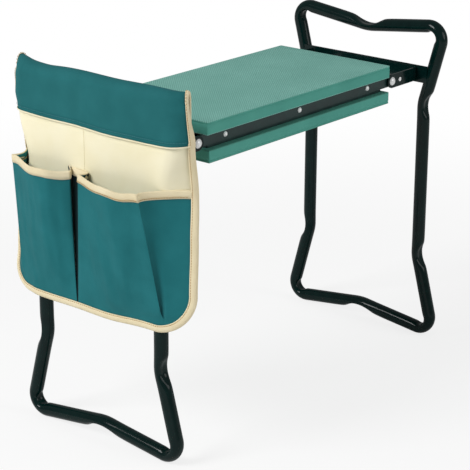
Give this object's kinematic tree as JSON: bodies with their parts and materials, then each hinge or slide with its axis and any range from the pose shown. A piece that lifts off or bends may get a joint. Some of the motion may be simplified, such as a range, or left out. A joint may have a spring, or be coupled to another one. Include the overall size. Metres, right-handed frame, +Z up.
{
  "type": "garden kneeler seat",
  "caption": "Folding garden kneeler and seat: foam-padded steel seat between two fold-in tube legs with handles, fork latches and a hanging tool bag.",
  "frame": {"origin": "on the floor, under the middle of the whole product as it stands as a seat", "axes": "+X along the seat from the leg that carries the tool bag to the bare leg, +Y across the seat towards its far side, +Z up"},
  "size_m": [0.6375, 0.3157, 0.4942],
  "materials": {
    "foam_top": "matte closed-cell foam",
    "foam_lower": "matte closed-cell foam",
    "pan_paint": "satin charcoal",
    "frame_coat": "gloss powder coat, very dark green",
    "zinc": "bright zinc",
    "nylon": "nylon",
    "webbing": "woven webbing",
    "bag_teal": "woven polyester, teal",
    "bag_cream": "woven polyester, cream",
    "bag_tape": "binding tape, cream"
  },
  "bodies": {
    "seat": {"upper_pad": "foam_top", "lower_pad": "foam_lower", "upper_pan": "pan_paint", "lower_pan": "pan_paint", "side_rivets": "zinc", "left_pivot_bolts": "zinc", "left_pivot_nuts": "zinc", "left_pivot_washers": "nylon", "right_pivot_bolts": "zinc", "right_pivot_nuts": "zinc", "right_pivot_washers": "nylon", "left_spring_seat": "pan_paint", "right_spring_seat": "pan_paint", "left_latch_spring": "zinc", "right_latch_spring": "zinc"},
    "left_leg": {"left_leg_tube": "frame_coat", "left_leg_bracket": "frame_coat", "left_lock_rod": "zinc", "bag_sleeve": "bag_teal", "bag_back_panel": "bag_cream", "bag_far_pocket": "bag_teal", "bag_near_pocket": "bag_teal", "bag_edge_tape": "bag_tape", "bag_lower_straps": "webbing", "bag_closing_tabs": "webbing"},
    "right_leg": {"right_leg_tube": "frame_coat", "right_leg_bracket": "frame_coat", "right_lock_rod": "zinc"},
    "left_latch": {"left_latch": "frame_coat"},
    "right_latch": {"right_latch": "frame_coat"}
  },
  "joints": [
    {"name": "right_leg_fold", "type": "hinge", "parent": "seat", "child": "right_leg", "pos_m": [0.23725, 0, 0.407], "axis": [0, 1, 0], "range_deg": [0, 94]},
    {"name": "left_leg_fold", "type": "hinge", "parent": "seat", "child": "left_leg", "pos_m": [-0.18875, 0, 0.407], "axis": [0, -1, 0], "range_deg": [0, 88]},
    {"name": "right_latch_slide", "type": "slide", "parent": "seat", "child": "right_latch", "axis": [1, 0, 0], "range_m": [0, 0.009], "stiffness_N_per_m": 300, "springref_m": 0.014},
    {"name": "left_latch_slide", "type": "slide", "parent": "seat", "child": "left_latch", "axis": [-1, 0, 0], "range_m": [0, 0.009], "stiffness_N_per_m": 300, "springref_m": 0.014}
  ]
}
